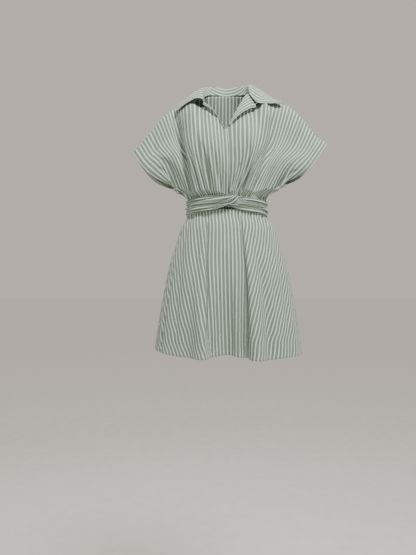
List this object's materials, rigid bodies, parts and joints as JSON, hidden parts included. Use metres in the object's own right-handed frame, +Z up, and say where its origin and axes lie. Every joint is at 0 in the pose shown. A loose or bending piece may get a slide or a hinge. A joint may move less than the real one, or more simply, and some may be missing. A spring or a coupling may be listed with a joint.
{
  "type": "shirt dress",
  "caption": "Short striped cotton shirt dress, worn shape, with an open collar, cut-on batwing sleeves, a front waist twist with wrapped ties and a flared skirt.",
  "frame": {"origin": "midway between the shoulders at the side of the neck, where the wearer's shoulders hold the dress", "axes": "+Z up along the wearer, -Y out of the front, +X to the wearer's left"},
  "size_m": [0.6084, 0.3492, 0.8499],
  "materials": {
    "striped_cotton": "matt plain-weave cotton with narrow lengthwise stripes of sage green and off-white"
  },
  "bodies": {
    "root": {"front_right": "striped_cotton", "front_left": "striped_cotton", "back": "striped_cotton", "cuff_right": "striped_cotton", "cuff_left": "striped_cotton", "collar": "striped_cotton", "lapel_left": "striped_cotton", "edge_right": "striped_cotton", "band_right": "striped_cotton", "band_left": "striped_cotton", "tie_knot": "striped_cotton", "tie_end_right": "striped_cotton", "tie_end_left": "striped_cotton", "skirt_front": "striped_cotton", "skirt_back": "striped_cotton"}
  },
  "joints": []
}
